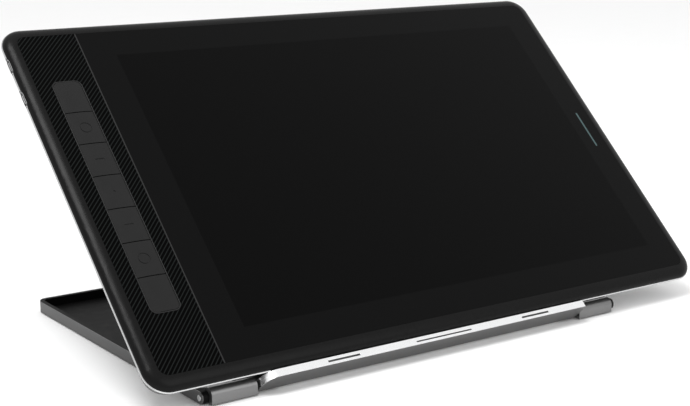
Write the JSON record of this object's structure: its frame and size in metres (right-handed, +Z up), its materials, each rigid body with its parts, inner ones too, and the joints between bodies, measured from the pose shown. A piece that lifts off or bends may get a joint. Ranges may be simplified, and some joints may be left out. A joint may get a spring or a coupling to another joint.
{
  "type": "pen drawing tablet",
  "caption": "Pen display tablet with press keys beside the screen, leaning on a folding stand with a tray base, lipped back plate and prop leg.",
  "frame": {"origin": "on the ground under the middle of the whole object", "axes": "+X to the user's right, +Y to the back, +Z up; the user sits at -Y"},
  "size_m": [0.373, 0.2046, 0.1686],
  "materials": {
    "rim_black": "satin black moulding",
    "bright_trim": "polished bevel",
    "case_grey": "fine matt dark grey",
    "screw_steel": "dark zinc",
    "rubber_black": "matt",
    "panel_glass": "satin anti-glare, black behind",
    "strip_gloss": "gloss black with fine diagonal lines",
    "line_grey": "satin",
    "key_black": "fine satin",
    "lcd_black": "gloss",
    "reflector_white": "matt",
    "board_green": "solder mask",
    "sheet_steel": "plain",
    "dome_steel": "polished",
    "flex_amber": "satin",
    "tray_black": "satin black",
    "hinge_silver": "satin anodised",
    "pin_steel": "polished end",
    "plate_silver": "satin anodised, polished edges",
    "cover_grey": "satin grey",
    "nylon_black": "satin",
    "bush_brass": "plain"
  },
  "bodies": {
    "base": {"base_tray": "tray_black", "side_cover_left": "cover_grey", "side_cover_right": "cover_grey", "hinge_barrel_left": "hinge_silver", "hinge_barrel_right": "hinge_silver", "hinge_pin_left": "pin_steel", "hinge_pin_right": "pin_steel", "hinge_washers": "nylon_black", "guide_rail_left": "sheet_steel", "guide_rail_right": "sheet_steel", "base_screws": "screw_steel", "base_feet": "rubber_black"},
    "easel": {"support_plate": "plate_silver", "hinge_bush_left": "bush_brass", "hinge_bush_right": "bush_brass", "plate_pads": "rubber_black", "pivot_block_left": "nylon_black", "pivot_block_right": "nylon_black", "plate_screws": "screw_steel"},
    "leg": {"prop_leg": "plate_silver", "pivot_rod": "pin_steel", "foot_rod": "pin_steel", "foot_rollers": "nylon_black"},
    "tablet": {"front_shell": "rim_black", "trim_band": "bright_trim", "rear_case": "case_grey", "case_screws": "screw_steel", "tablet_feet": "rubber_black", "cover_glass": "panel_glass", "strip_panel": "strip_gloss", "glass_divider": "line_grey", "key_bezel": "line_grey", "lcd_panel": "lcd_black", "backlight_unit": "reflector_white", "pen_sensor_board": "board_green", "shield_plate": "sheet_steel", "mid_frame": "nylon_black", "key_board": "board_green", "key_domes": "dome_steel", "main_board": "board_green", "display_flex": "flex_amber", "usb_socket_upper": "sheet_steel", "usb_socket_lower": "sheet_steel", "power_switch": "nylon_black"},
    "key_1_cap": {"key_1": "key_black"},
    "key_2_cap": {"key_2": "key_black"},
    "key_3_cap": {"key_3": "key_black"},
    "key_4_cap": {"key_4": "key_black"},
    "key_5_cap": {"key_5": "key_black"},
    "key_6_cap": {"key_6": "key_black"},
    "key_7_cap": {"key_7": "key_black"},
    "power_cap": {"power_button": "key_black"}
  },
  "joints": [
    {"name": "easel_tilt", "type": "hinge", "parent": "base", "child": "easel", "pos_m": [-0.01745, -0.09123, 0.0037], "axis": [1, 0, 0], "range_deg": [-43.05, 11.95]},
    {"name": "leg_fold", "type": "hinge", "parent": "easel", "child": "leg", "pos_m": [-0.01745, -0.03526, 0.05804], "axis": [1, 0, 0], "range_deg": [-24, 86.2]},
    {"name": "tablet_lift", "type": "slide", "parent": "easel", "child": "tablet", "axis": [0, 0, 1], "range_m": [0, 0.12]},
    {"name": "key_1_press", "type": "slide", "parent": "tablet", "child": "key_1_cap", "axis": [0, 0.6826, -0.7308], "range_m": [0, 0.0007], "stiffness_N_per_m": 600, "springref_m": -0.0003},
    {"name": "key_2_press", "type": "slide", "parent": "tablet", "child": "key_2_cap", "axis": [0, 0.6826, -0.7308], "range_m": [0, 0.0007], "stiffness_N_per_m": 600, "springref_m": -0.0003},
    {"name": "key_3_press", "type": "slide", "parent": "tablet", "child": "key_3_cap", "axis": [0, 0.6826, -0.7308], "range_m": [0, 0.0007], "stiffness_N_per_m": 600, "springref_m": -0.0003},
    {"name": "key_4_press", "type": "slide", "parent": "tablet", "child": "key_4_cap", "axis": [0, 0.6826, -0.7308], "range_m": [0, 0.0007], "stiffness_N_per_m": 600, "springref_m": -0.0003},
    {"name": "key_5_press", "type": "slide", "parent": "tablet", "child": "key_5_cap", "axis": [0, 0.6826, -0.7308], "range_m": [0, 0.0007], "stiffness_N_per_m": 600, "springref_m": -0.0003},
    {"name": "key_6_press", "type": "slide", "parent": "tablet", "child": "key_6_cap", "axis": [0, 0.6826, -0.7308], "range_m": [0, 0.0007], "stiffness_N_per_m": 600, "springref_m": -0.0003},
    {"name": "key_7_press", "type": "slide", "parent": "tablet", "child": "key_7_cap", "axis": [0, 0.6826, -0.7308], "range_m": [0, 0.0007], "stiffness_N_per_m": 600, "springref_m": -0.0003},
    {"name": "power_press", "type": "slide", "parent": "tablet", "child": "power_cap", "axis": [0, -0.7308, -0.6826], "range_m": [0, 0.0004], "stiffness_N_per_m": 1500, "springref_m": -0.0003}
  ],
  "couplings": [
    {"joint": "leg_fold", "follows": "easel_tilt", "ratio": -2}
  ]
}
